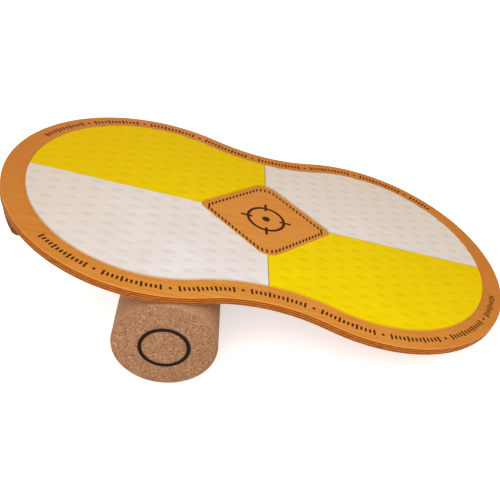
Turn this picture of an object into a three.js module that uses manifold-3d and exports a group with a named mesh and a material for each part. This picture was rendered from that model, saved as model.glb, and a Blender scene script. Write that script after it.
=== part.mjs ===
// Rola bola: a peanut-shaped plywood deck with four grip pads and two end stops, on a cork roller.
// Millimetres, +Z up. +X runs along the deck towards its low end, Y runs along the roller.
import * as THREE from 'three';
import { mergeVertices } from 'three/addons/utils/BufferGeometryUtils.js';
import Module from 'manifold-3d';

// Deck: two round lobes, drawn in to a waist
const deckLength = 760;
const deckWidth = 436;
const waistRadius = 228;
const deckThickness = 12;
const plyCount = 7;
const glueLine = 0.3;
const deckEdgeRound = 1.3;

// Grip pads and the rhombus window between them
const padInset = 32.5;
const padThickness = 3;
const padEdgeEase = 0.8;
const padGap = 0.9;
const windowLength = 211;
const windowWidth = 199;
const windowCornerRadius = 14;

// Crescent stops under both ends
const stopInset = 5;
const stopHeight = 20;
const stopWidth = 42;
const stopHornWidth = 24;
const stopHalfSweep = THREE.MathUtils.degToRad(34);
const stopEdgeEase = 2;

// Countersunk wood screws that hold the stops
const screwHeadRadius = 4.4;
const screwShankRadius = 2.2;
const screwTipLength = 4;
const screwTipRadius = 0.6;
const screwBite = 6;
const screwHeadRecess = 0.4;
const screwEdgeDistance = 13;
const screwSpread = THREE.MathUtils.degToRad(25);
const recessSlotLength = 4.8;
const recessSlotWidth = 1.1;
const recessSlotDepth = 1.6;

// Cork roller and the ring printed on its front end
const rollerRadius = 69;
const rollerLength = 442;
const rollerEdgeRound = 5;
const rollerOffset = -116;
const ringOuterRadius = 34;
const ringInnerRadius = 29;
const ringThickness = 0.4;

// Running gaps, and how far a cutter passes the solid that it cuts
const seatGap = 0.3;
const cutterOverrun = 5;

// How finely the curves are divided
const lobeSteps = 48;
const waistSteps = 10;
const roundSteps = 3;
const cornerSteps = 5;
const stopSteps = 20;
const hornSteps = 8;
const screwFacets = 16;
const rollerFacets = 96;

// Sizes that follow from those above
const lobeRadius = deckWidth / 2;
const lobeCentre = deckLength / 2 - lobeRadius;
const waistCentre = Math.sqrt((lobeRadius + waistRadius) ** 2 - lobeCentre ** 2);
const lobeEndAngle = Math.atan2(waistCentre, -lobeCentre);
const plyThickness = (deckThickness - glueLine * (plyCount - 1)) / plyCount;
const plyPitch = plyThickness + glueLine;
const padBottom = deckThickness + seatGap;
const stopOuterRadius = lobeRadius - stopInset;
const screwRingRadius = stopOuterRadius - screwEdgeDistance;

const wasm = await Module();
wasm.setup();

// Booleans

function toSolid(geometry) {
  const bare = geometry.clone();
  bare.deleteAttribute('normal');
  bare.deleteAttribute('uv');
  const merged = mergeVertices(bare);
  return new wasm.Manifold(new wasm.Mesh({
    numProp: 3,
    vertProperties: new Float32Array(merged.attributes.position.array),
    triVerts: new Uint32Array(merged.index.array),
  }));
}

function toGeometry(solid) {
  const mesh = solid.getMesh();
  const geometry = new THREE.BufferGeometry();
  geometry.setAttribute('position', new THREE.BufferAttribute(mesh.vertProperties, 3));
  geometry.setIndex(new THREE.BufferAttribute(mesh.triVerts, 1));
  geometry.computeVertexNormals();
  return geometry;
}

function cut(geometry, cutters) {
  let solid = toSolid(geometry);
  for (const cutter of cutters) {
    solid = solid.subtract(toSolid(cutter));
  }
  return toGeometry(solid);
}

// Outlines, all anticlockwise seen from above

function arc(centreX, centreY, radius, from, to, steps) {
  const points = [];
  for (let i = 0; i < steps; i++) {
    const angle = from + (to - from) * (i / steps);
    points.push(new THREE.Vector2(
      centreX + radius * Math.cos(angle),
      centreY + radius * Math.sin(angle),
    ));
  }
  return points;
}

// The deck's outline, moved inwards by an inset: four tangent arcs
function peanutOutline(inset) {
  const lobe = lobeRadius - inset;
  const waist = waistRadius + inset;
  const turn = lobeEndAngle;
  return [
    ...arc(lobeCentre, 0, lobe, -turn, turn, lobeSteps),
    ...arc(0, waistCentre, waist, turn - Math.PI, -turn, waistSteps),
    ...arc(-lobeCentre, 0, lobe, Math.PI - turn, Math.PI + turn, lobeSteps),
    ...arc(0, -waistCentre, waist, turn, Math.PI - turn, waistSteps),
  ];
}

// A rhombus with its corners rounded by tangent arcs
function windowOutline() {
  const halfLength = windowLength / 2;
  const halfWidth = windowWidth / 2;
  const sideAngle = Math.atan2(halfWidth, halfLength);
  const pullX = windowCornerRadius / Math.sin(sideAngle);
  const pullY = windowCornerRadius / Math.cos(sideAngle);
  const pointed = Math.PI / 2 - sideAngle;
  const radius = windowCornerRadius;
  const corners = [
    { x: halfLength - pullX, y: 0, middle: 0, half: pointed },
    { x: 0, y: halfWidth - pullY, middle: Math.PI / 2, half: sideAngle },
    { x: pullX - halfLength, y: 0, middle: Math.PI, half: pointed },
    { x: 0, y: pullY - halfWidth, middle: -Math.PI / 2, half: sideAngle },
  ];
  return corners.flatMap(({ x, y, middle, half }) => [
    ...arc(x, y, radius, middle - half, middle + half, cornerSteps),
    new THREE.Vector2(
      x + radius * Math.cos(middle + half),
      y + radius * Math.sin(middle + half),
    ),
  ]);
}

// A crescent along the right-hand end of the deck, with round horns
function crescentOutline(inset) {
  const outer = stopOuterRadius - inset;
  const hornRadius = stopHornWidth / 2 - inset;
  const hornMiddle = stopOuterRadius - stopHornWidth / 2;
  const hornX = lobeCentre + hornMiddle * Math.cos(stopHalfSweep);
  const hornY = hornMiddle * Math.sin(stopHalfSweep);
  const innerEnd = hornMiddle - hornRadius;
  const innerX = lobeCentre + innerEnd * Math.cos(stopHalfSweep);
  const innerY = innerEnd * Math.sin(stopHalfSweep);
  const innerMiddle = lobeCentre + stopOuterRadius - stopWidth + inset;
  const bowCentre =
    (innerX ** 2 + innerY ** 2 - innerMiddle ** 2) / (2 * (innerX - innerMiddle));
  const bowRadius = innerMiddle - bowCentre;
  const bowAngle = Math.atan2(innerY, innerX - bowCentre);
  const sweep = stopHalfSweep;
  const full = Math.PI;
  return [
    ...arc(lobeCentre, 0, outer, -sweep, sweep, stopSteps),
    ...arc(hornX, hornY, hornRadius, sweep, sweep + full, hornSteps),
    ...arc(bowCentre, 0, bowRadius, bowAngle, -bowAngle, stopSteps),
    ...arc(hornX, -hornY, hornRadius, full - sweep, 2 * full - sweep, hornSteps),
  ];
}

// Solids

// A plate lofted through rings that have equally many points, from the lowest to the highest
function loft(rings) {
  const count = rings[0].outline.length;
  const positions = rings.flatMap(({ outline, z }) => outline.flatMap((p) => [p.x, p.y, z]));
  const top = (rings.length - 1) * count;
  const faces = [];
  for (let ring = 0; ring < rings.length - 1; ring++) {
    for (let i = 0; i < count; i++) {
      const here = ring * count + i;
      const next = ring * count + ((i + 1) % count);
      faces.push(here, next, next + count);
      faces.push(here, next + count, here + count);
    }
  }
  for (const [a, b, c] of THREE.ShapeUtils.triangulateShape(rings[0].outline, [])) {
    faces.push(a, c, b);
  }
  for (const [a, b, c] of THREE.ShapeUtils.triangulateShape(rings.at(-1).outline, [])) {
    faces.push(top + a, top + b, top + c);
  }
  const geometry = new THREE.BufferGeometry();
  geometry.setAttribute('position', new THREE.Float32BufferAttribute(positions, 3));
  geometry.setIndex(faces);
  geometry.computeVertexNormals();
  return geometry;
}

// Rings of a quarter-round edge: at its start the outline is pulled in by the whole radius
function roundedRings(outlineAt, radius, edgeZ, direction) {
  const rings = [];
  for (let i = 0; i <= roundSteps; i++) {
    const angle = (Math.PI / 2) * (i / roundSteps);
    const inset = radius * (1 - Math.sin(angle));
    const z = edgeZ + direction * radius * (1 - Math.cos(angle));
    rings.push({ outline: outlineAt(inset), z });
  }
  return direction > 0 ? rings : rings.reverse();
}

function extrudeOutline(outline, bottom, top) {
  return loft([{ outline, z: bottom }, { outline, z: top }]);
}

// A body of revolution about a vertical line
function revolve(profile, facets, x, y) {
  const points = profile.map(([radius, z]) => new THREE.Vector2(radius, z));
  return new THREE.LatheGeometry(points, facets)
    .rotateX(Math.PI / 2)
    .translate(x, y, 0);
}

function screwPlaces(side) {
  const places = { front: -screwSpread, middle: 0, back: screwSpread };
  return Object.entries(places).map(([name, angle]) => ({
    name,
    x: side * (lobeCentre + screwRingRadius * Math.cos(angle)),
    y: screwRingRadius * Math.sin(angle),
  }));
}

// A countersunk screw standing on its head, grown all round by a clearance
function screwProfile(clearance, headDepth) {
  const head = screwHeadRadius + clearance;
  const shank = screwShankRadius + clearance;
  const headTop = screwHeadRecess - stopHeight;
  return [
    [0, headTop - headDepth],
    [head, headTop - headDepth],
    [head, headTop],
    [shank, headTop + head - shank],
    [shank, screwBite - screwTipLength],
    [screwTipRadius + clearance, screwBite + clearance],
    [0, screwBite + clearance],
  ].filter(([radius, z], i, all) => i === 0 || radius !== all[i - 1][0] || z !== all[i - 1][1]);
}

function screwHoles(side) {
  return screwPlaces(side).map(({ x, y }) =>
    revolve(screwProfile(seatGap, cutterOverrun), screwFacets, x, y));
}

function buildScrew({ x, y }) {
  const blank = revolve(screwProfile(0, 0), screwFacets, x, y);
  const headZ = screwHeadRecess - stopHeight;
  const slots = [
    new THREE.BoxGeometry(recessSlotLength, recessSlotWidth, 2 * recessSlotDepth),
    new THREE.BoxGeometry(recessSlotWidth, recessSlotLength, 2 * recessSlotDepth),
  ];
  return cut(blank, slots.map((slot) => slot.translate(x, y, headZ)));
}

function buildPly(number) {
  const top = deckThickness - number * plyPitch;
  const bottom = top - plyThickness;
  const edge = peanutOutline(0);
  let rings = [{ outline: edge, z: bottom }, { outline: edge, z: top }];
  if (number === 0) {
    rings = [{ outline: edge, z: bottom }, ...roundedRings(peanutOutline, deckEdgeRound, top, -1)];
  }
  if (number === plyCount - 1) {
    rings = [...roundedRings(peanutOutline, deckEdgeRound, bottom, 1), { outline: edge, z: top }];
  }
  const ply = loft(rings);
  const drilled = bottom < screwBite + seatGap;
  return drilled ? cut(ply, [...screwHoles(-1), ...screwHoles(1)]) : ply;
}

// One quarter of the grip, cut back from both centre lines and from the window
function buildPad(sideX, sideY) {
  const edge = (inset) => peanutOutline(padInset + inset);
  const top = padBottom + padThickness;
  const sheet = loft([
    { outline: edge(0), z: padBottom },
    ...roundedRings(edge, padEdgeEase, top, -1),
  ]);
  const reachX = deckLength / 2;
  const reachY = deckWidth / 2;
  const tall = padThickness + 2 * cutterOverrun;
  const quarter = new THREE.BoxGeometry(reachX, reachY, tall).translate(
    sideX * (reachX / 2 + padGap / 2),
    sideY * (reachY / 2 + padGap / 2),
    padBottom + padThickness / 2,
  );
  const opening = extrudeOutline(windowOutline(), padBottom - cutterOverrun, top + cutterOverrun);
  const pad = toSolid(sheet).intersect(toSolid(quarter)).subtract(toSolid(opening));
  return toGeometry(pad);
}

function buildStop(side) {
  const rings = [
    ...roundedRings(crescentOutline, stopEdgeEase, -stopHeight, 1),
    { outline: crescentOutline(0), z: -seatGap },
  ];
  const right = cut(loft(rings), screwHoles(1));
  if (side > 0) {
    return right;
  }
  return right.rotateZ(Math.PI);
}

function buildRoller() {
  const half = rollerLength / 2;
  const points = [new THREE.Vector2(0, -half)];
  for (let i = 0; i <= roundSteps; i++) {
    const angle = (Math.PI / 2) * (i / roundSteps);
    const radius = rollerRadius - rollerEdgeRound * (1 - Math.sin(angle));
    const along = half - rollerEdgeRound * (1 - Math.cos(angle));
    points.push(new THREE.Vector2(radius, -along));
  }
  const mirrored = points.map((p) => new THREE.Vector2(p.x, -p.y)).reverse();
  // Turned by half a facet, so that the roller lies on a flat
  return new THREE.LatheGeometry([...points, ...mirrored], rollerFacets, Math.PI / rollerFacets);
}

// A thin flat ring just in front of the roller's front end
function buildRing() {
  const back = -rollerLength / 2 - seatGap;
  const front = back - ringThickness;
  const profile = [
    [ringInnerRadius, front],
    [ringOuterRadius, front],
    [ringOuterRadius, back],
    [ringInnerRadius, back],
    [ringInnerRadius, front],
  ];
  const points = profile.map(([radius, y]) => new THREE.Vector2(radius, y));
  return new THREE.LatheGeometry(points, rollerFacets / 2);
}

// Finishes

const finishes = {
  longPly: { color: 0xc88a4c, roughness: 0.45, metalness: 0 },
  crossPly: { color: 0x7d4320, roughness: 0.55, metalness: 0 },
  yellowFoam: { color: 0xe6c600, roughness: 0.8, metalness: 0 },
  whiteFoam: { color: 0xe1d3c8, roughness: 0.8, metalness: 0 },
  stopWood: { color: 0x96552e, roughness: 0.5, metalness: 0 },
  screwSteel: { color: 0xb9b9b4, roughness: 0.35, metalness: 1 },
  cork: { color: 0xb98d68, roughness: 0.9, metalness: 0 },
  ink: { color: 0x2b1a12, roughness: 0.7, metalness: 0 },
};

function piece(name, geometry, finish) {
  const material = new THREE.MeshStandardMaterial(finishes[finish]);
  const mesh = new THREE.Mesh(geometry, material);
  mesh.name = name;
  return mesh;
}

// Assembly

function buildDeck() {
  const deck = new THREE.Group();
  for (let number = 0; number < plyCount; number++) {
    const finish = number % 2 === 0 ? 'longPly' : 'crossPly';
    deck.add(piece(`deck_ply_${number + 1}`, buildPly(number), finish));
  }
  deck.add(piece('grip_pad_back_left', buildPad(-1, 1), 'yellowFoam'));
  deck.add(piece('grip_pad_back_right', buildPad(1, 1), 'whiteFoam'));
  deck.add(piece('grip_pad_front_left', buildPad(-1, -1), 'whiteFoam'));
  deck.add(piece('grip_pad_front_right', buildPad(1, -1), 'yellowFoam'));
  for (const [end, side] of [['left', -1], ['right', 1]]) {
    deck.add(piece(`end_stop_${end}`, buildStop(side), 'stopWood'));
    for (const place of screwPlaces(side)) {
      deck.add(piece(`stop_screw_${end}_${place.name}`, buildScrew(place), 'screwSteel'));
    }
  }
  return deck;
}

// The deck leans on the roller and on the lower edge of its right-hand stop.
// Both touch the floor, which sets how far the deck tilts.
const footX = lobeCentre + stopOuterRadius - stopEdgeEase;
const rollerDrop = rollerRadius + seatGap;
const rollerHeight = rollerRadius * Math.cos(Math.PI / rollerFacets);
const span = footX - rollerOffset;
const rise = rollerDrop - stopHeight;
const tilt = Math.atan2(rise, span) + Math.asin(rollerHeight / Math.hypot(rise, span));

const deck = buildDeck();
deck.rotation.y = tilt;
deck.position.z = footX * Math.sin(tilt) + stopHeight * Math.cos(tilt);

const roller = new THREE.Group();
roller.add(piece('cork_roller', buildRoller(), 'cork'));
roller.add(piece('roller_end_ring', buildRing(), 'ink'));
roller.position.x = rollerOffset * Math.cos(tilt) - rollerDrop * Math.sin(tilt);
roller.position.z = rollerHeight;

const group = new THREE.Group();
group.name = 'rola_bola';
group.add(deck, roller);

// The origin lies on the floor, under the middle of the whole object's box
group.updateMatrixWorld(true);
const middle = new THREE.Box3().setFromObject(group, true).getCenter(new THREE.Vector3());
group.position.x = -middle.x;
group.position.y = -middle.y;

export default group;
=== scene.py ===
import bpy
import math
from mathutils import Matrix, Vector


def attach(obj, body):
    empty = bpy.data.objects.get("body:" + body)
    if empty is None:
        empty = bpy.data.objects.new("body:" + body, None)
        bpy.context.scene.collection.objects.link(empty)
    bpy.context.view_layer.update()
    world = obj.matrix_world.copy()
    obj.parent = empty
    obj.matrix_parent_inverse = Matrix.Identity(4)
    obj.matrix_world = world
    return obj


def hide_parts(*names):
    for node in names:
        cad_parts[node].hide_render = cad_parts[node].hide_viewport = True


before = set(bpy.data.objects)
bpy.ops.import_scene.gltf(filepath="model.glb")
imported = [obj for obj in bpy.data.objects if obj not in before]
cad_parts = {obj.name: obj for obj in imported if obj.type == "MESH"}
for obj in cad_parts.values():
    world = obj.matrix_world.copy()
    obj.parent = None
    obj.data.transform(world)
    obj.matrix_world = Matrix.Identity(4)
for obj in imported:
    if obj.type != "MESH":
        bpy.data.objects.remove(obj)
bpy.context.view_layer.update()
print("frame loaded:", len(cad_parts), "nodes")

# The deck's own frame: x along the deck, z square to it, zero on its underside.
# Everything below is in metres.
deckPlace = {"tilt": math.radians(13.823208), "origin": (-0.001433, 0.00035, 0.108541)}
deckMatrix = (
    Matrix.Translation(deckPlace["origin"]) @ Matrix.Rotation(deckPlace["tilt"], 4, "Y")
)

# Two round lobes joined by waist arcs
deckShape = {"lobe": 0.218, "lobeCentre": 0.162, "waist": 0.228, "top": 0.012}
waistCentre = math.sqrt(
    (deckShape["lobe"] + deckShape["waist"]) ** 2 - deckShape["lobeCentre"] ** 2
)
lobeEnd = math.atan2(waistCentre, -deckShape["lobeCentre"])


def outlineQuarter(inset, steps):
    # from the right-hand end round to the middle of the back edge
    lobe = deckShape["lobe"] - inset
    waist = deckShape["waist"] + inset
    waistSteps = steps // 3
    points = []
    for i in range(steps):
        a = lobeEnd * i / steps
        points.append((deckShape["lobeCentre"] + lobe * math.cos(a), lobe * math.sin(a)))
    for i in range(waistSteps + 1):
        a = lobeEnd - math.pi + (math.pi / 2 - lobeEnd) * i / waistSteps
        points.append((waist * math.cos(a), waistCentre + waist * math.sin(a)))
    return points


# Mesh helpers

def clearSelection():
    if bpy.context.object and bpy.context.object.mode != "OBJECT":
        bpy.ops.object.mode_set(mode="OBJECT")
    bpy.ops.object.select_all(action="DESELECT")


def activate(piece):
    clearSelection()
    piece.select_set(True)
    bpy.context.view_layer.objects.active = piece


def plateFromPoints(name, points, bottom, top, roundTop=0.0):
    # a flat plate with this outline, its upper edge rounded
    clearSelection()
    bpy.ops.mesh.primitive_circle_add(vertices=len(points), radius=0.1, fill_type="NGON")
    piece = bpy.context.object
    piece.name = name
    for vertex, (x, y) in zip(piece.data.vertices, points):
        vertex.co = (x, y, bottom)
    bpy.ops.object.mode_set(mode="EDIT")
    bpy.ops.mesh.select_all(action="SELECT")
    bpy.ops.mesh.extrude_region_move(TRANSFORM_OT_translate={"value": (0, 0, top - bottom)})
    if roundTop:
        bpy.ops.mesh.bevel(offset=roundTop, segments=3, affect="EDGES")
    bpy.ops.mesh.select_all(action="SELECT")
    bpy.ops.mesh.normals_make_consistent(inside=False)
    bpy.ops.object.mode_set(mode="OBJECT")
    return piece


def joinPieces(name, pieces):
    clearSelection()
    for piece in pieces:
        piece.select_set(True)
    bpy.context.view_layer.objects.active = pieces[0]
    bpy.ops.object.join()
    pieces[0].name = name
    return pieces[0]


def copiesOf(master, matrices):
    copies = []
    for matrix in matrices:
        copy = master.copy()
        copy.data = master.data.copy()
        copy.data.transform(matrix)
        bpy.context.scene.collection.objects.link(copy)
        copies.append(copy)
    return copies


def discard(piece):
    bpy.data.objects.remove(piece, do_unlink=True)


def cutOrWeld(piece, other, operation):
    # joins the two solids by this Boolean and removes the other
    activate(piece)
    stamp = piece.modifiers.new("stamp", "BOOLEAN")
    stamp.operation = operation
    stamp.solver = "EXACT"
    stamp.object = other
    bpy.ops.object.modifier_apply(modifier=stamp.name)
    discard(other)


def finishPiece(piece, material, body, smooth=35):
    activate(piece)
    bpy.ops.object.shade_smooth_by_angle(angle=math.radians(smooth))
    piece.data.materials.clear()
    piece.data.materials.append(material)
    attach(piece, body)


# Material helpers

def tint(red, green, blue):
    # an 8-bit screen colour as the shader wants it
    parts = []
    for part in (red, green, blue):
        c = part / 255
        parts.append(c / 12.92 if c <= 0.04045 else ((c + 0.055) / 1.055) ** 2.4)
    return (*parts, 1.0)


def startMaterial(name, roughness, **settings):
    material = bpy.data.materials.new(name)
    material.use_nodes = True
    tree = material.node_tree
    shader = tree.nodes["Principled BSDF"]
    shader.inputs["Roughness"].default_value = roughness
    for socket, value in settings.items():
        shader.inputs[socket.replace("_", " ")].default_value = value
    return material, tree, shader


def addNode(tree, kind, inputs, **settings):
    node = tree.nodes.new(kind)
    for key, value in settings.items():
        setattr(node, key, value)
    for key, value in inputs.items():
        if isinstance(value, bpy.types.NodeSocket):
            tree.links.new(value, node.inputs[key])
        else:
            node.inputs[key].default_value = value
    return node


def ramp(tree, factor, stops):
    node = tree.nodes.new("ShaderNodeValToRGB")
    while len(node.color_ramp.elements) < len(stops):
        node.color_ramp.elements.new(0.5)
    for element, (position, colour) in zip(node.color_ramp.elements, stops):
        element.position = position
        element.color = colour
    tree.links.new(factor, node.inputs["Fac"])
    return node.outputs["Color"]


def grey(value):
    return (value, value, value, 1.0)


def blendColours(tree, factor, first, second, kind="MIX"):
    node = tree.nodes.new("ShaderNodeMix")
    node.data_type = "RGBA"
    node.blend_type = kind
    sockets = (node.inputs[0], node.inputs[6], node.inputs[7])
    for socket, value in zip(sockets, (factor, first, second)):
        if isinstance(value, bpy.types.NodeSocket):
            tree.links.new(value, socket)
        else:
            socket.default_value = value
    return node.outputs[2]


def deckCoordinates(tree):
    # object coordinates turned into the deck's own frame
    origin = Vector(deckPlace["origin"])
    back = Matrix.Rotation(-deckPlace["tilt"], 3, "Y") @ origin
    where = tree.nodes.new("ShaderNodeTexCoord").outputs["Object"]
    return addNode(
        tree, "ShaderNodeMapping",
        {"Vector": where, "Location": -back, "Rotation": (0, -deckPlace["tilt"], 0)},
    ).outputs["Vector"]


def stretched(tree, vector, x, y, z):
    return addNode(
        tree, "ShaderNodeVectorMath", {0: vector, 1: (x, y, z)}, operation="MULTIPLY",
    ).outputs["Vector"]


def noise(tree, vector, scale, detail, roughness, distortion=0.0):
    return addNode(
        tree, "ShaderNodeTexNoise",
        {"Vector": vector, "Scale": scale, "Detail": detail, "Roughness": roughness,
         "Distortion": distortion},
    ).outputs["Fac"]


def addBump(tree, shader, height, distance, strength):
    node = addNode(
        tree, "ShaderNodeBump",
        {"Height": height, "Distance": distance, "Strength": strength},
    )
    tree.links.new(node.outputs["Normal"], shader.inputs["Normal"])


# Materials

# Where the painted shade and painted light on the deck and the pads come in, in the deck's own
# frame
fades = {
    "front": -0.17, "back": 0.16, "endStart": 0.15, "endFull": 0.37,
    "windowStart": 0.12, "windowFull": 0.06,
}


def fromFrontToBack(tree, place, amount):
    # 0 along the deck's front edge, rising to the amount along its back edge
    across = addNode(tree, "ShaderNodeSeparateXYZ", {"Vector": place}).outputs["Y"]
    return addNode(
        tree, "ShaderNodeMapRange",
        {"Value": across, "From Min": fades["front"], "From Max": fades["back"],
         "To Min": 0.0, "To Max": amount},
    ).outputs["Result"]


def towardsTheEnds(tree, place, left, right):
    # 0 over the middle of the deck, rising to these amounts at its two ends
    along = addNode(tree, "ShaderNodeSeparateXYZ", {"Vector": place}).outputs["X"]
    amounts = [
        addNode(
            tree, "ShaderNodeMapRange",
            {"Value": along, "From Min": fades["endStart"] * side,
             "From Max": fades["endFull"] * side, "To Max": amount},
        ).outputs["Result"]
        for side, amount in ((-1, left), (1, right))
    ]
    return addNode(
        tree, "ShaderNodeMath", {0: amounts[0], 1: amounts[1]}, operation="ADD",
    ).outputs["Value"]


def paintedLightInWindow(tree, place, amount):
    # painted light: how much paler the wood inside the pads' window is painted
    flat = stretched(tree, place, 1.0, 1.0, 0.0)
    apart = addNode(
        tree, "ShaderNodeVectorMath", {0: flat, 1: (0, 0, 0)}, operation="DISTANCE",
    ).outputs["Value"]
    return addNode(
        tree, "ShaderNodeMapRange",
        {"Value": apart, "From Min": fades["windowStart"], "From Max": fades["windowFull"],
         "To Min": 0.0, "To Max": amount},
    ).outputs["Result"]


# Varnished veneer: tones of the broad face, of the painted shade on its far parts, of the cut edge
# and of the painted highlight on its rounded edge
veneers = {
    "longVeneer": {
        "light": (224, 148, 61), "dark": (208, 130, 45), "back": (189, 109, 33),
        "edgeLight": (226, 144, 60), "edgeDark": (184, 98, 32), "grain": (1.0, 26.0, 26.0),
        "paintedLightTone": (236, 160, 76),
    },
    "crossVeneer": {
        "light": (176, 98, 36), "dark": (136, 68, 22), "back": (150, 80, 28),
        "edgeLight": (166, 84, 28), "edgeDark": (126, 56, 15), "grain": (26.0, 1.0, 26.0),
        "paintedLightTone": (168, 86, 28),
    },
}
# How fine its figure and marks are, and how strongly its painted shade and painted light come in
varnish = {
    "figure": 7.0, "fibre": 60.0, "pores": 120.0, "cloud": 11.0, "wear": 34.0,
    "sawMarks": 700.0, "sawSlant": 0.3,
    "paintedBackShade": 0.7, "paintedLeftShade": 0.6, "paintedRightShade": 0.66, "paintedWindowLight": 0.2,
}


def makeVeneer(name, values):
    material, tree, shader = startMaterial(
        name, 0.55, Coat_Weight=0.03, Coat_Roughness=0.3, Specular_IOR_Level=0.06,
    )
    place = deckCoordinates(tree)
    along = stretched(tree, place, *values["grain"])
    figure = noise(tree, along, varnish["figure"], 3.0, 0.55, 0.6)
    fibre = noise(tree, along, varnish["fibre"], 4.0, 0.7)
    pores = noise(tree, stretched(tree, along, 0.35, 1.0, 1.0), varnish["pores"], 2.0, 0.6)
    cloud = noise(tree, place, varnish["cloud"], 3.0, 0.55)
    face = blendColours(
        tree, ramp(tree, figure, [(0.34, grey(0)), (0.64, grey(1))]),
        tint(*values["dark"]), tint(*values["light"]),
    )
    # painted shade: the face is darker towards the back and towards both ends
    back = tint(*values["back"])
    face = blendColours(tree, fromFrontToBack(tree, place, varnish["paintedBackShade"]), face, back)
    face = blendColours(
        tree, towardsTheEnds(tree, place, varnish["paintedLeftShade"], varnish["paintedRightShade"]), face, back,
    )
    face = blendColours(
        tree, ramp(tree, cloud, [(0.38, grey(0)), (0.72, grey(0.35))]), face, tint(*values["dark"]),
    )
    # painted light: the wood inside the pads' window is painted paler
    face = blendColours(
        tree, paintedLightInWindow(tree, place, varnish["paintedWindowLight"]), face, tint(*values["paintedLightTone"]),
    )
    face = blendColours(
        tree, 0.5, face, ramp(tree, fibre, [(0.30, grey(0.80)), (0.60, grey(1.0))]), "MULTIPLY",
    )
    face = blendColours(
        tree, ramp(tree, pores, [(0.63, grey(0)), (0.72, grey(0.45))]),
        face, tint(*values["edgeDark"]),
    )
    # saw marks and fibre ends on the cut edge, running up it at a slant
    slant = addNode(
        tree, "ShaderNodeMapping", {"Vector": place, "Rotation": (0, varnish["sawSlant"], 0)},
    ).outputs["Vector"]
    streaks = noise(
        tree, stretched(tree, slant, 0.12, 0.12, 1.0), varnish["sawMarks"], 3.0, 0.7,
    )
    edge = blendColours(
        tree, ramp(tree, streaks, [(0.36, grey(0)), (0.64, grey(1))]),
        tint(*values["edgeDark"]), tint(*values["edgeLight"]),
    )
    up = Matrix.Rotation(deckPlace["tilt"], 3, "Y") @ Vector((0, 0, 1))
    facing = addNode(
        tree, "ShaderNodeVectorMath",
        {0: tree.nodes.new("ShaderNodeTexCoord").outputs["Normal"], 1: up},
        operation="DOT_PRODUCT",
    ).outputs["Value"]
    flatness = addNode(tree, "ShaderNodeMath", {0: facing}, operation="ABSOLUTE").outputs["Value"]
    isFace = ramp(tree, flatness, [(0.35, grey(0)), (0.75, grey(1))])
    colour = blendColours(tree, isFace, edge, face)
    # painted highlight: the rounded edge is painted paler
    paintedEdgeHighlight = ramp(
        tree, flatness, [(0.04, grey(0)), (0.3, grey(0.7)), (0.8, grey(0.5)), (0.98, grey(0))],
    )
    colour = blendColours(tree, paintedEdgeHighlight, colour, tint(*values["paintedLightTone"]))
    tree.links.new(colour, shader.inputs["Base Color"])
    wear = noise(tree, place, varnish["wear"], 4.0, 0.6)
    tree.links.new(
        ramp(tree, wear, [(0.35, grey(0.48)), (0.70, grey(0.62))]), shader.inputs["Roughness"],
    )
    addBump(tree, shader, fibre, 0.00008, 0.5)
    return material


# Closed-cell foam, with heights above the deck's underside for the dust and painted shade in the
# hollows
foam = {
    "yellow": {"light": (245, 215, 0), "dark": (238, 205, 0), "back": (225, 184, 0)},
    "white": {"light": (238, 229, 225), "dark": (229, 218, 211), "back": (219, 202, 184)},
    "cells": 1500.0, "cloud": 22.0, "paintedBackShade": 0.9, "paintedLeftShade": 0.85, "paintedRightShade": 0.45,
    "noDustOrShadeAbove": 0.0149, "dustAndShadeBelow": 0.0144, "dustAndShade": 0.21, "moreDustAndShadeAtBack": 0.2,
    "dustAndShadeTone": (0.87, 0.85, 0.80),
}


def makeFoam(name, tones):
    material, tree, shader = startMaterial(name, 0.82, Specular_IOR_Level=0.04)
    place = deckCoordinates(tree)
    cells = noise(tree, place, foam["cells"], 2.0, 0.6)
    cloud = noise(tree, place, foam["cloud"], 4.0, 0.6)
    colour = blendColours(
        tree, ramp(tree, cloud, [(0.30, grey(0)), (0.70, grey(1))]),
        tint(*tones["dark"]), tint(*tones["light"]),
    )
    # painted shade: the foam is darker towards the back and towards both ends
    back = tint(*tones["back"])
    colour = blendColours(tree, fromFrontToBack(tree, place, foam["paintedBackShade"]), colour, back)
    colour = blendColours(
        tree, towardsTheEnds(tree, place, foam["paintedLeftShade"], foam["paintedRightShade"]), colour, back,
    )
    colour = blendColours(
        tree, 0.2, colour, ramp(tree, cells, [(0.35, grey(0.6)), (0.60, grey(1.0))]), "MULTIPLY",
    )
    # the hollows are darkened, partly by dust and partly by painted shade, more of it towards the
    # back
    height = addNode(tree, "ShaderNodeSeparateXYZ", {"Vector": place}).outputs["Z"]
    dustAndShade = addNode(
        tree, "ShaderNodeMath",
        {0: fromFrontToBack(tree, place, foam["moreDustAndShadeAtBack"]), 1: foam["dustAndShade"]}, operation="ADD",
    ).outputs["Value"]
    depth = addNode(
        tree, "ShaderNodeMapRange",
        {"Value": height, "From Min": foam["noDustOrShadeAbove"], "From Max": foam["dustAndShadeBelow"],
         "To Min": 0.0, "To Max": dustAndShade},
    ).outputs["Result"]
    dustAndShadeColour = tint(*(share * part for share, part in zip(foam["dustAndShadeTone"], tones["dark"])))
    colour = blendColours(tree, depth, colour, dustAndShadeColour)
    tree.links.new(colour, shader.inputs["Base Color"])
    tree.links.new(
        ramp(tree, cells, [(0.35, grey(0.70)), (0.65, grey(0.86))]), shader.inputs["Roughness"],
    )
    addBump(tree, shader, cells, 0.00010, 0.6)
    return material


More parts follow.
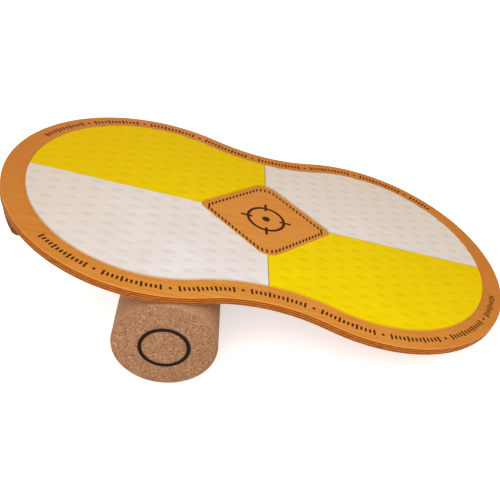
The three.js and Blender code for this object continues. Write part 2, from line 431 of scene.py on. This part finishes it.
# Pressed cork granules, and where the roller's ends and edges are
cork = {
    "granules": 520.0, "crumbs": 1250.0, "axis": (-0.130632, 0.068963), "radius": 0.069,
    "halfLength": 0.221, "edgeBand": 0.0022, "cloud": 16.0, "darkEdgePatches": 90.0,
    "wobbleScale": 320.0, "wobble": 0.0016, "turnedFade": 0.42,
    "turnedTone": (208, 164, 128), "darkEdgeTone": (132, 78, 46), "jointTone": (124, 80, 52),
    "granuleTones": [
        (0.00, (132, 86, 56)), (0.16, (166, 116, 80)), (0.45, (184, 134, 96)),
        (0.75, (200, 150, 112)), (0.95, (216, 168, 130)),
    ],
    "crumbTones": [
        (0.00, (112, 70, 44)), (0.14, (158, 108, 72)), (0.55, (186, 136, 98)),
        (1.00, (206, 158, 120)),
    ],
}


def makeCork(name):
    material, tree, shader = startMaterial(name, 0.85, Specular_IOR_Level=0.06)
    where = tree.nodes.new("ShaderNodeTexCoord").outputs["Object"]
    wobble = addNode(
        tree, "ShaderNodeTexNoise",
        {"Vector": where, "Scale": cork["wobbleScale"], "Detail": 2.0},
    ).outputs["Color"]
    bent = addNode(
        tree, "ShaderNodeVectorMath", {0: wobble, 1: [cork["wobble"]] * 3, 2: where},
        operation="MULTIPLY_ADD",
    ).outputs["Vector"]
    big = addNode(tree, "ShaderNodeTexVoronoi", {"Vector": bent, "Scale": cork["granules"]})
    small = addNode(tree, "ShaderNodeTexVoronoi", {"Vector": bent, "Scale": cork["crumbs"]})
    gaps = addNode(
        tree, "ShaderNodeTexVoronoi", {"Vector": bent, "Scale": cork["granules"]},
        feature="DISTANCE_TO_EDGE",
    ).outputs["Distance"]
    pick = addNode(tree, "ShaderNodeSeparateColor", {"Color": big.outputs["Color"]}).outputs
    pickSmall = addNode(
        tree, "ShaderNodeSeparateColor", {"Color": small.outputs["Color"]},
    ).outputs
    granules, crumbs = (
        ramp(tree, chance, [(at, tint(*tone)) for at, tone in tones])
        for chance, tones in (
            (pick["Red"], cork["granuleTones"]), (pickSmall["Green"], cork["crumbTones"]),
        )
    )
    colour = blendColours(
        tree, ramp(tree, pick["Blue"], [(0.38, grey(0)), (0.42, grey(1))]), granules, crumbs,
    )
    joints = ramp(tree, gaps, [(0.0, grey(0.35)), (0.10, grey(0.0))])
    colour = blendColours(tree, joints, colour, tint(*cork["jointTone"]))
    cloud = noise(tree, where, cork["cloud"], 3.0, 0.6)
    colour = blendColours(
        tree, 0.4, colour, ramp(tree, cloud, [(0.30, grey(0.74)), (0.70, grey(0.96))]), "MULTIPLY",
    )
    # the turned side is smoother and paler than the sawn ends
    facing = addNode(
        tree, "ShaderNodeSeparateXYZ",
        {"Vector": tree.nodes.new("ShaderNodeTexCoord").outputs["Normal"]},
    ).outputs["Y"]
    endFace = ramp(
        tree, addNode(tree, "ShaderNodeMath", {0: facing}, operation="ABSOLUTE").outputs["Value"],
        [(0.3, grey(cork["turnedFade"])), (0.8, grey(0))],
    )
    colour = blendColours(tree, endFace, colour, tint(*cork["turnedTone"]))
    # the edge between them is darker in patches: far from the axis and near an end at once
    apart = addNode(tree, "ShaderNodeSeparateXYZ", {"Vector": where})
    flat = addNode(
        tree, "ShaderNodeCombineXYZ", {"X": apart.outputs["X"], "Z": apart.outputs["Z"]},
    ).outputs["Vector"]
    radius = addNode(
        tree, "ShaderNodeVectorMath", {0: flat, 1: (cork["axis"][0], 0, cork["axis"][1])},
        operation="DISTANCE",
    ).outputs["Value"]
    reach = addNode(tree, "ShaderNodeMath", {0: apart.outputs["Y"]}, operation="ABSOLUTE")
    band = cork["edgeBand"]
    outerness = addNode(
        tree, "ShaderNodeMapRange",
        {"Value": radius, "From Min": cork["radius"] - 2 * band, "From Max": cork["radius"] - band},
    ).outputs["Result"]
    endness = addNode(
        tree, "ShaderNodeMapRange",
        {"Value": reach.outputs["Value"], "From Min": cork["halfLength"] - 2 * band,
         "From Max": cork["halfLength"] - band},
    ).outputs["Result"]
    patchy = ramp(
        tree, noise(tree, where, cork["darkEdgePatches"], 3.0, 0.6),
        [(0.35, grey(0.05)), (0.6, grey(0.35))],
    )
    darkEdge = addNode(
        tree, "ShaderNodeMath", {0: outerness, 1: endness}, operation="MULTIPLY",
    ).outputs["Value"]
    darkEdge = addNode(
        tree, "ShaderNodeMath", {0: darkEdge, 1: patchy}, operation="MULTIPLY",
    ).outputs["Value"]
    colour = blendColours(tree, darkEdge, colour, tint(*cork["darkEdgeTone"]))
    tree.links.new(colour, shader.inputs["Base Color"])
    relief = blendColours(
        tree, 0.5, ramp(tree, gaps, [(0.0, grey(0)), (0.16, grey(1))]),
        ramp(tree, small.outputs["Distance"], [(0.0, grey(1)), (0.7, grey(0))]),
    )
    addBump(tree, shader, relief, 0.0002, 0.5)
    return material


stopTones = {"light": (158, 88, 38), "dark": (118, 60, 22), "figure": 8.0, "fibre": 70.0}


def makeStopWood(name):
    material, tree, shader = startMaterial(
        name, 0.6, Coat_Weight=0.02, Coat_Roughness=0.3, Specular_IOR_Level=0.05,
    )
    place = deckCoordinates(tree)
    along = stretched(tree, place, 22.0, 1.0, 22.0)
    figure = noise(tree, along, stopTones["figure"], 3.0, 0.55, 0.8)
    fibre = noise(tree, along, stopTones["fibre"], 4.0, 0.7)
    colour = blendColours(
        tree, ramp(tree, figure, [(0.32, grey(0)), (0.66, grey(1))]),
        tint(*stopTones["dark"]), tint(*stopTones["light"]),
    )
    colour = blendColours(
        tree, 0.5, colour, ramp(tree, fibre, [(0.30, grey(0.66)), (0.62, grey(1.0))]), "MULTIPLY",
    )
    tree.links.new(colour, shader.inputs["Base Color"])
    addBump(tree, shader, fibre, 0.00015, 0.5)
    return material


steelTones = {"light": (206, 205, 200), "dark": (150, 150, 146), "scuffs": 900.0}


def makeSteel(name):
    material, tree, shader = startMaterial(name, 0.32, Metallic=1.0)
    where = tree.nodes.new("ShaderNodeTexCoord").outputs["Object"]
    scuffs = noise(tree, where, steelTones["scuffs"], 3.0, 0.6)
    tree.links.new(
        ramp(tree, scuffs, [(0.3, tint(*steelTones["dark"])), (0.7, tint(*steelTones["light"]))]),
        shader.inputs["Base Color"],
    )
    tree.links.new(
        ramp(tree, scuffs, [(0.3, grey(0.24)), (0.7, grey(0.42))]), shader.inputs["Roughness"],
    )
    addBump(tree, shader, scuffs, 0.00003, 0.4)
    return material


def makeInk(name, light, dark):
    # dry print that lets a little of the surface show through
    material, tree, shader = startMaterial(name, 0.7, Specular_IOR_Level=0.04)
    where = tree.nodes.new("ShaderNodeTexCoord").outputs["Object"]
    speckle = noise(tree, where, 1400.0, 3.0, 0.7)
    tree.links.new(
        ramp(tree, speckle, [(0.35, tint(*dark)), (0.72, tint(*light))]),
        shader.inputs["Base Color"],
    )
    tree.links.new(
        ramp(tree, speckle, [(0.3, grey(0.56)), (0.7, grey(0.76))]), shader.inputs["Roughness"],
    )
    return material


filmTones = {"light": (218, 174, 124), "dark": (198, 152, 102), "lumps": 240.0}


def makeFilm(name):
    # adhesive film that holds the pads and shows as a pale line round them
    material, tree, shader = startMaterial(name, 0.6, Specular_IOR_Level=0.1)
    place = deckCoordinates(tree)
    lumps = noise(tree, place, filmTones["lumps"], 3.0, 0.6)
    tree.links.new(
        ramp(tree, lumps, [(0.3, tint(*filmTones["dark"])), (0.7, tint(*filmTones["light"]))]),
        shader.inputs["Base Color"],
    )
    tree.links.new(
        ramp(tree, lumps, [(0.3, grey(0.5)), (0.7, grey(0.7))]), shader.inputs["Roughness"],
    )
    addBump(tree, shader, lumps, 0.00008, 0.5)
    return material


longVeneer = makeVeneer("longVeneer", veneers["longVeneer"])
crossVeneer = makeVeneer("crossVeneer", veneers["crossVeneer"])
yellowFoam = makeFoam("yellowFoam", foam["yellow"])
whiteFoam = makeFoam("whiteFoam", foam["white"])
pressedCork = makeCork("pressedCork")
stopWood = makeStopWood("stopWood")
zincSteel = makeSteel("zincSteel")
brownInk = makeInk("brownInk", (84, 44, 20), (58, 28, 12))
blackInk = makeInk("blackInk", (52, 38, 32), (30, 22, 19))
glueFilm = makeFilm("glueFilm")
print("materials made")

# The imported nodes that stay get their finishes

for name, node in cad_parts.items():
    if name.startswith("deck_ply_"):
        finish = longVeneer if int(name[-1]) % 2 else crossVeneer
    elif name.startswith("end_stop_"):
        finish = stopWood
    elif name.startswith("stop_screw_"):
        finish = zincSteel
    elif name == "cork_roller":
        finish = pressedCork
    elif name == "roller_end_ring":
        finish = blackInk
    else:
        continue
    for materialSlot in node.material_slots:
        materialSlot.material = finish
print("packed nodes dressed")

# Embossed foam pads

pads = {
    "inset": 0.0325, "bottom": 0.0123, "top": 0.0153, "gap": 0.00045, "edgeRound": 0.0008,
    "windowHalfLength": 0.1055, "windowHalfWidth": 0.0995, "endCorner": 0.014, "sideCorner": 0.023,
    "outlineSteps": 64, "cornerSteps": 8,
    "sheetLength": 0.352, "sheetWidth": 0.192, "sheetMargin": 0.002, "sheetDrop": 0.001,
    "cell": 0.0013,
    "pitchX": 0.0285, "pitchY": 0.0205, "hollow": 0.0009,
    "halfLens": 0.0128, "halfLensWidth": 0.0064, "tipRound": 0.003,
    "ridge": 0.00012, "ridgeSlope": 12,
    "dieOverrun": 0.00002, "weldWithin": 0.00002, "leastEdge": 0.000005,
    "filmSpread": 0.0007, "filmGap": 0.00015,
}


def windowQuarter(steps, spread):
    # the rounded rhombus, from its right-hand corner to its back corner
    halfLength, halfWidth = pads["windowHalfLength"], pads["windowHalfWidth"]
    side = math.atan2(halfWidth, halfLength)
    halfLength -= spread / math.sin(side)
    halfWidth -= spread / math.cos(side)
    end, middle = pads["endCorner"] - spread, pads["sideCorner"] - spread
    turn = math.pi / 2 - side
    points = []
    for i in range(steps + 1):
        a = turn * i / steps
        points.append((
            halfLength - end / math.sin(side) + end * math.cos(a), end * math.sin(a),
        ))
    for i in range(steps + 1):
        a = turn + side * i / steps
        points.append((
            middle * math.cos(a), halfWidth - middle / math.cos(side) + middle * math.sin(a),
        ))
    return points


def padOutline(sideX, sideY, spread=0.0):
    gap = max(pads["filmGap"], pads["gap"] - spread)
    outer = outlineQuarter(pads["inset"] - spread, pads["outlineSteps"])
    inner = windowQuarter(pads["cornerSteps"], spread)
    points = [(max(x, gap), max(y, gap)) for x, y in outer + inner[::-1]]
    return [(sideX * x, sideY * y) for x, y in points]


def reliefAt(x, y):
    # depth below the top: lens-shaped hollows in a diamond net of low ridges
    first = x / (2 * pads["pitchX"]) + y / pads["pitchY"]
    second = x / (2 * pads["pitchX"]) - y / pads["pitchY"]
    first -= round(first)
    second -= round(second)
    along = pads["pitchX"] * (first + second)
    across = pads["pitchY"] * (first - second) / 2
    fromTip = math.hypot(along, pads["tipRound"]) - pads["tipRound"]
    level = 1 - fromTip / pads["halfLens"] - (across / pads["halfLensWidth"]) ** 2
    level = min(1.0, max(0.0, level))
    onRidge = max(0.0, 1 - pads["ridgeSlope"] * (0.5 - max(abs(first), abs(second))))
    return pads["hollow"] * level * level * (3 - 2 * level) + pads["ridge"] * (1 - onRidge)


def makePad(node, sideX, sideY, shift, material):
    length, width, margin = pads["sheetLength"], pads["sheetWidth"], pads["sheetMargin"]
    clearSelection()
    bpy.ops.mesh.primitive_grid_add(
        x_subdivisions=round(length / pads["cell"]), y_subdivisions=round(width / pads["cell"]),
        size=1,
    )
    sheet = bpy.context.object
    sheet.name = node.replace("grip_pad", "embossed_pad")
    for vertex in sheet.data.vertices:
        x = sideX * ((vertex.co.x + 0.5) * length - margin)
        y = sideY * ((vertex.co.y + 0.5) * width - margin)
        vertex.co = (x, y, pads["top"] - reliefAt(x - shift[0], y - shift[1]))
    bpy.ops.object.mode_set(mode="EDIT")
    bpy.ops.mesh.select_mode(type="EDGE")
    bpy.ops.mesh.select_all(action="SELECT")
    bpy.ops.mesh.region_to_loop()
    bpy.ops.mesh.extrude_edges_move(
        TRANSFORM_OT_translate={"value": (0, 0, -pads["sheetDrop"])},
    )
    bpy.ops.transform.resize(
        value=(1, 1, 0), center_override=(0, 0, pads["bottom"] - pads["sheetDrop"]),
    )
    bpy.ops.mesh.edge_face_add()
    bpy.ops.mesh.select_all(action="SELECT")
    bpy.ops.mesh.normals_make_consistent(inside=False)
    bpy.ops.object.mode_set(mode="OBJECT")
    # the die stands a hair above the sheet, so that their tops don't coincide
    die = plateFromPoints(
        "padDie", padOutline(sideX, sideY), pads["bottom"], pads["top"] + pads["dieOverrun"],
        pads["edgeRound"],
    )
    cutOrWeld(sheet, die, "INTERSECT")
    bpy.ops.object.mode_set(mode="EDIT")
    bpy.ops.mesh.select_all(action="SELECT")
    bpy.ops.mesh.remove_doubles(threshold=pads["weldWithin"])
    bpy.ops.mesh.dissolve_degenerate(threshold=pads["leastEdge"])
    bpy.ops.object.mode_set(mode="OBJECT")
    sheet.data.transform(deckMatrix)
    finishPiece(sheet, material, "deck", 40)
    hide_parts(node)
    print("pad", node, len(sheet.data.polygons), "faces")


# each pad was cut from its own sheet, so its relief starts somewhere else
makePad("grip_pad_back_left", -1, 1, (0.0136, 0.0068), yellowFoam)
makePad("grip_pad_back_right", 1, 1, (-0.0019, 0.0012), whiteFoam)
makePad("grip_pad_front_left", -1, -1, (0.0068, 0.0041), whiteFoam)
makePad("grip_pad_front_right", 1, -1, (-0.0044, 0.0001), yellowFoam)

films = [
    plateFromPoints(
        "film", padOutline(sideX, sideY, pads["filmSpread"]), deckShape["top"], pads["bottom"],
    )
    for sideX in (-1, 1) for sideY in (-1, 1)
]
padFilm = joinPieces("pad_adhesive_film", films)
padFilm.data.transform(deckMatrix)
finishPiece(padFilm, glueFilm, "deck")
print("adhesive film laid")

# Printed stitches round the window

stitches = {
    "halfLength": 0.0918, "halfWidth": 0.0874, "corner": 0.023, "pitch": 0.0073, "start": 0.0066,
    "width": 0.0026, "length": 0.0074, "thick": 0.00012, "lean": 0.22,
    "barX": 0.0874, "barWidth": 0.0027, "barLength": 0.0155,
}


def makeBar(width, length, thick, rounding=0.3, segments=2):
    # a thin printed bar with rounded corners, lying on the deck
    clearSelection()
    bpy.ops.mesh.primitive_cube_add(size=1)
    bar = bpy.context.object
    for vertex in bar.data.vertices:
        vertex.co = (
            vertex.co.x * width, vertex.co.y * length,
            deckShape["top"] + (0.5 + vertex.co.z) * thick,
        )
    bpy.ops.object.mode_set(mode="EDIT")
    bpy.ops.mesh.select_mode(type="EDGE")
    bpy.ops.mesh.select_all(action="DESELECT")
    bpy.ops.object.mode_set(mode="OBJECT")
    for edge in bar.data.edges:
        first, second = (bar.data.vertices[i].co for i in edge.vertices)
        edge.select = abs(first.z - second.z) > thick / 2
    bpy.ops.object.mode_set(mode="EDIT")
    bpy.ops.mesh.bevel(offset=rounding * min(width, length), segments=segments, affect="EDGES")
    bpy.ops.object.mode_set(mode="OBJECT")
    return bar


def pathLengths(points):
    lengths = [0.0]
    for (ax, ay), (bx, by) in zip(points, points[1:]):
        lengths.append(lengths[-1] + math.hypot(bx - ax, by - ay))
    return lengths


def placesAlong(points, pitch):
    # evenly spaced points on a path, each with the path's direction there
    lengths = pathLengths(points)
    count = max(1, round(lengths[-1] / pitch))
    step = lengths[-1] / count
    places = []
    segment = 0
    for i in range(count):
        reach = step * (i + 0.5)
        while lengths[segment + 1] < reach:
            segment += 1
        (ax, ay), (bx, by) = points[segment], points[segment + 1]
        share = (reach - lengths[segment]) / (lengths[segment + 1] - lengths[segment])
        places.append((
            ax + (bx - ax) * share, ay + (by - ay) * share, math.atan2(by - ay, bx - ax),
        ))
    return places


def stitchQuarter():
    corner = stitches["corner"]
    halfLength, halfWidth = stitches["halfLength"], stitches["halfWidth"]
    side = math.atan2(halfWidth, halfLength)
    start = stitches["start"]
    steps = 8
    points = [(halfLength - start, start * halfWidth / halfLength)]
    for i in range(steps + 1):
        a = math.pi / 2 - side + side * i / steps
        points.append((
            corner * math.cos(a), halfWidth - corner / math.cos(side) + corner * math.sin(a),
        ))
    return points


def leanOf(along):
    # square to the line at the window's near and far corners, slanted on its sides
    return -stitches["lean"] * ((along + math.pi / 2) % math.pi - math.pi / 2)


quarter = stitchQuarter()
half = quarter + [(-x, y) for x, y in quarter[-2::-1]]
stitchPlaces = placesAlong(half, stitches["pitch"])
stitchPlaces += [(x, -y, math.pi - a) for x, y, a in stitchPlaces]
stitch = makeBar(stitches["width"], stitches["length"], stitches["thick"])
stitchCopies = copiesOf(stitch, [
    Matrix.Translation((x, y, 0)) @ Matrix.Rotation(leanOf(a), 4, "Z") for x, y, a in stitchPlaces
])
discard(stitch)
longBar = makeBar(stitches["barWidth"], stitches["barLength"], stitches["thick"])
stitchCopies += copiesOf(longBar, [
    Matrix.Translation((side * stitches["barX"], 0, 0)) for side in (-1, 1)
])
discard(longBar)
windowStitches = joinPieces("window_stitches", stitchCopies)
windowStitches.data.transform(deckMatrix)
finishPiece(windowStitches, brownInk, "deck")
print("window stitches:", len(stitchPlaces))

# Plain scale of ticks and dots round the rim

rimScale = {
    "inset": 0.0160, "pitch": 0.0060, "width": 0.0029, "short": 0.0068, "long": 0.0098,
    "dot": 0.0021, "thick": 0.00012, "group": 13, "every": 4,
    "frontStart": 132, "frontEnd": 18, "backStart": 155, "backEnd": 47,
}


def rimPath(startAngle, endAngle, sideY):
    # along the rim over the waist, between angles in degrees about the two lobes' centres
    lobe = deckShape["lobe"] - rimScale["inset"]
    waist = deckShape["waist"] + rimScale["inset"]
    centre = deckShape["lobeCentre"]
    start, end = math.radians(startAngle), math.radians(endAngle)
    leftEnd = math.pi - lobeEnd
    lobeSteps, waistSteps = 60, 30
    points = []
    for i in range(lobeSteps + 1):
        a = start + (leftEnd - start) * i / lobeSteps
        points.append((-centre + lobe * math.cos(a), lobe * math.sin(a)))
    for i in range(1, waistSteps):
        a = -math.pi + leftEnd + (math.pi - 2 * leftEnd) * i / waistSteps
        points.append((waist * math.cos(a), waistCentre + waist * math.sin(a)))
    for i in range(lobeSteps + 1):
        a = lobeEnd + (end - lobeEnd) * i / lobeSteps
        points.append((centre + lobe * math.cos(a), lobe * math.sin(a)))
    return [(x, sideY * y) for x, y in points]


shortTick = makeBar(rimScale["width"], rimScale["short"], rimScale["thick"])
longTick = makeBar(rimScale["width"], rimScale["long"], rimScale["thick"])
dot = makeBar(
    2 * rimScale["dot"], 2 * rimScale["dot"], rimScale["thick"], rounding=0.45, segments=3,
)
ticks = []
for path in (
    rimPath(rimScale["frontStart"], rimScale["frontEnd"], -1),
    rimPath(rimScale["backStart"], rimScale["backEnd"], 1),
):
    for i, (x, y, a) in enumerate(placesAlong(path, rimScale["pitch"])):
        # a group of ticks, then a dot with a space on both sides
        step = i % (rimScale["group"] + 3)
        if step == rimScale["group"] + 1:
            master = dot
        elif step >= rimScale["group"]:
            continue
        else:
            master = longTick if step % rimScale["every"] == 0 else shortTick
        turn = Matrix.Translation((x, y, 0)) @ Matrix.Rotation(a, 4, "Z")
        ticks += copiesOf(master, [turn])
for master in (shortTick, longTick, dot):
    discard(master)
rimTicks = joinPieces("rim_scale", ticks)
rimTicks.data.transform(deckMatrix)
finishPiece(rimTicks, brownInk, "deck")
print("rim scale:", len(rimTicks.data.polygons), "faces")

# Centre mark in the window

centreMark = {
    "outer": 0.030, "inner": 0.0255, "tick": 0.018, "tickWidth": 0.0042, "thick": 0.00012,
    "dot": 0.006, "facets": 64,
}


def makeRing(outer, inner, thick, facets):
    clearSelection()
    bpy.ops.mesh.primitive_circle_add(vertices=facets, radius=outer, fill_type="NGON")
    ring = bpy.context.object
    bpy.ops.object.mode_set(mode="EDIT")
    bpy.ops.mesh.select_mode(type="FACE")
    bpy.ops.mesh.select_all(action="SELECT")
    bpy.ops.mesh.inset(thickness=outer - inner)
    bpy.ops.mesh.delete(type="FACE")
    bpy.ops.mesh.select_all(action="SELECT")
    bpy.ops.mesh.extrude_region_move(TRANSFORM_OT_translate={"value": (0, 0, thick)})
    bpy.ops.mesh.select_all(action="SELECT")
    bpy.ops.mesh.normals_make_consistent(inside=False)
    bpy.ops.object.mode_set(mode="OBJECT")
    ring.data.transform(Matrix.Translation((0, 0, deckShape["top"])))
    return ring


markRing = makeRing(
    centreMark["outer"], centreMark["inner"], centreMark["thick"], centreMark["facets"],
)
markTick = makeBar(centreMark["tickWidth"], centreMark["tick"], centreMark["thick"])
for tick in copiesOf(markTick, [
    Matrix.Rotation(math.radians(a), 4, "Z") @ Matrix.Translation((0, centreMark["outer"], 0))
    for a in (0, 90, 180, 270)
]):
    cutOrWeld(markRing, tick, "UNION")
discard(markTick)
markDot = makeBar(
    2 * centreMark["dot"], 2 * centreMark["dot"], centreMark["thick"], rounding=0.46, segments=6,
)
mark = joinPieces("centre_mark", [markRing, markDot])
mark.data.transform(deckMatrix)
finishPiece(mark, brownInk, "deck")
print("centre mark made")

# Floor, light and camera

studio = {
    "floorSize": 8.0, "floorShade": 0.80, "floorGlow": 0.55, "worldStrength": 0.665,
    "keyPower": 22.0, "keySize": 1.8, "keyPlace": (-0.35, -1.5, 1.9),
    "fillPower": 7.0, "fillSize": 1.6, "fillPlace": (1.3, -0.9, 1.5),
    "backPower": 6.5, "backSize": 1.0, "backPlace": (-0.3, 1.7, 0.2),
    "aim": (0, 0, 0.1),
}


def seenDirectly(tree):
    # 1 for what the camera sees itself, in a mirror or through glass
    rays = tree.nodes.new("ShaderNodeLightPath").outputs
    either = addNode(
        tree, "ShaderNodeMath", {0: rays["Is Camera Ray"], 1: rays["Is Glossy Ray"]},
        operation="MAXIMUM",
    ).outputs["Value"]
    return addNode(
        tree, "ShaderNodeMath", {0: either, 1: rays["Is Transmission Ray"]}, operation="MAXIMUM",
    ).outputs["Value"]


clearSelection()
bpy.ops.mesh.primitive_grid_add(x_subdivisions=4, y_subdivisions=4, size=studio["floorSize"])
floor = bpy.context.object
floor.name = "studio_floor"
floorMaterial, floorTree, floorShader = startMaterial("paleFloor", 0.9, Specular_IOR_Level=0.0)
floorSeen = seenDirectly(floorTree)
floorTree.links.new(
    blendColours(floorTree, floorSeen, grey(studio["floorShade"]), grey(1.0)),
    floorShader.inputs["Base Color"],
)
floorShader.inputs["Emission Color"].default_value = grey(1.0)
cameraRay = floorTree.nodes.new("ShaderNodeLightPath").outputs["Is Camera Ray"]
glow = addNode(
    floorTree, "ShaderNodeMath", {0: cameraRay, 1: studio["floorGlow"]}, operation="MULTIPLY",
).outputs["Value"]
floorTree.links.new(glow, floorShader.inputs["Emission Strength"])
floor.data.materials.append(floorMaterial)

world = bpy.data.worlds.new("studioWorld")
bpy.context.scene.world = world
world.use_nodes = True
worldTree = world.node_tree
worldTree.nodes.clear()
strength = addNode(
    worldTree, "ShaderNodeMapRange",
    {"Value": seenDirectly(worldTree), "To Min": studio["worldStrength"], "To Max": 1.0},
).outputs["Result"]
sky = addNode(worldTree, "ShaderNodeBackground", {"Color": grey(1.0), "Strength": strength})
worldOut = worldTree.nodes.new("ShaderNodeOutputWorld")
worldTree.links.new(sky.outputs["Background"], worldOut.inputs["Surface"])


def addLamp(name, power, size, place):
    lamp = bpy.data.lights.new(name, "AREA")
    lamp.energy = power
    lamp.size = size
    item = bpy.data.objects.new(name, lamp)
    item.location = place
    towards = Vector(studio["aim"]) - Vector(place)
    item.rotation_euler = towards.to_track_quat("-Z", "Y").to_euler()
    bpy.context.scene.collection.objects.link(item)


# the back lamp is low, for the roller's back end
for lampName in ("key", "fill", "back"):
    addLamp(
        lampName + "Light", studio[lampName + "Power"], studio[lampName + "Size"],
        studio[lampName + "Place"],
    )

camera = {
    "place": (-0.0442, -0.8324, 0.6952), "turn": (52.707, -2.071, -0.062), "lens": 48.752,
    "sensor": 36,
}
cameraData = bpy.data.cameras.new("photoCamera")
cameraData.sensor_width = camera["sensor"]
cameraData.lens = camera["lens"]
cameraObject = bpy.data.objects.new("photoCamera", cameraData)
cameraObject.location = camera["place"]
cameraObject.rotation_euler = [math.radians(a) for a in camera["turn"]]
bpy.context.scene.collection.objects.link(cameraObject)
bpy.context.scene.camera = cameraObject
bpy.context.scene.view_settings.view_transform = "Standard"
print("studio made")

clearSelection()
